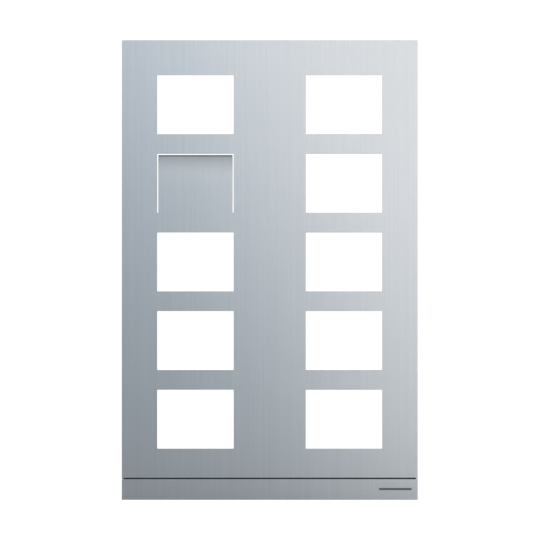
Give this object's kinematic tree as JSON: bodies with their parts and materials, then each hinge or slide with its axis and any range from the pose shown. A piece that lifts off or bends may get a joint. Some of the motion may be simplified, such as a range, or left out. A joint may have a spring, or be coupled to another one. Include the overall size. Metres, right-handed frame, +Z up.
{
  "type": "door intercom panel",
  "caption": "Wall-mounted door intercom panel: brushed steel cover with ten module bays and a sound flap, hinged on a cast frame and locked behind a sliding end strip.",
  "frame": {"origin": "middle of the back face, which lies against the wall", "axes": "+Z up, +X to the right as seen from the front, +Y into the wall, so the front faces -Y"},
  "size_m": [0.271, 0.016, 0.421],
  "materials": {
    "brushed_steel": "fine vertical brushing, satin",
    "black_plastic": "fine moulded texture, matt black",
    "seal_rubber": "matt black foam and rubber",
    "fastener_steel": "bright zinc-plated steel",
    "washer_nylon": "natural nylon",
    "insert_brass": "turned brass",
    "cast_aluminium": "die-cast, fine blasted surface"
  },
  "bodies": {
    "wall_frame": {"mounting_frame": "cast_aluminium", "wall_gasket": "seal_rubber", "hinge_pin_left": "fastener_steel", "hinge_pin_right": "fastener_steel", "lock_insert_left": "insert_brass", "lock_insert_right": "insert_brass"},
    "cover": {"front_plate": "brushed_steel", "cover_carrier": "black_plastic", "sound_seal": "seal_rubber", "cover_seal": "seal_rubber", "window_seal_left_1": "seal_rubber", "window_seal_left_3": "seal_rubber", "window_seal_left_4": "seal_rubber", "window_seal_left_5": "seal_rubber", "window_seal_right_1": "seal_rubber", "window_seal_right_2": "seal_rubber", "window_seal_right_3": "seal_rubber", "window_seal_right_4": "seal_rubber", "window_seal_right_5": "seal_rubber", "stud_nut_1": "fastener_steel", "stud_nut_2": "fastener_steel", "stud_nut_3": "fastener_steel", "stud_nut_4": "fastener_steel", "stud_nut_5": "fastener_steel", "stud_nut_6": "fastener_steel", "stud_nut_7": "fastener_steel", "stud_nut_8": "fastener_steel", "stud_nut_9": "fastener_steel"},
    "strip": {"end_strip": "brushed_steel", "strip_carrier": "black_plastic", "strip_spring_left": "fastener_steel", "strip_spring_right": "fastener_steel"},
    "left_lock_washer": {"lock_washer_left": "washer_nylon"},
    "left_lock_screw": {"lock_screw_left": "fastener_steel"},
    "right_lock_washer": {"lock_washer_right": "washer_nylon"},
    "right_lock_screw": {"lock_screw_right": "fastener_steel"}
  },
  "joints": [
    {"name": "cover_hinge", "type": "hinge", "parent": "wall_frame", "child": "cover", "pos_m": [0, -0.005, 0.20555], "axis": [-1, 0, 0], "range_deg": [0, 35]},
    {"name": "strip_slide", "type": "slide", "parent": "cover", "child": "strip", "axis": [0, 0, -1], "range_m": [0, 0.012]},
    {"name": "left_lock_travel", "type": "slide", "parent": "cover", "child": "left_lock_washer", "axis": [0, -1, 0], "range_m": [0, 0.0036]},
    {"name": "left_lock_turn", "type": "hinge", "parent": "left_lock_washer", "child": "left_lock_screw", "pos_m": [-0.1, 0, -0.199], "axis": [0, -1, 0], "range_deg": [0, 2160]},
    {"name": "right_lock_travel", "type": "slide", "parent": "cover", "child": "right_lock_washer", "axis": [0, -1, 0], "range_m": [0, 0.0036]},
    {"name": "right_lock_turn", "type": "hinge", "parent": "right_lock_washer", "child": "right_lock_screw", "pos_m": [0.1, 0, -0.199], "axis": [0, -1, 0], "range_deg": [0, 2160]}
  ],
  "couplings": [
    {"joint": "left_lock_turn", "follows": "left_lock_travel", "rad_per_m": 10472},
    {"joint": "right_lock_turn", "follows": "right_lock_travel", "rad_per_m": 10472}
  ]
}
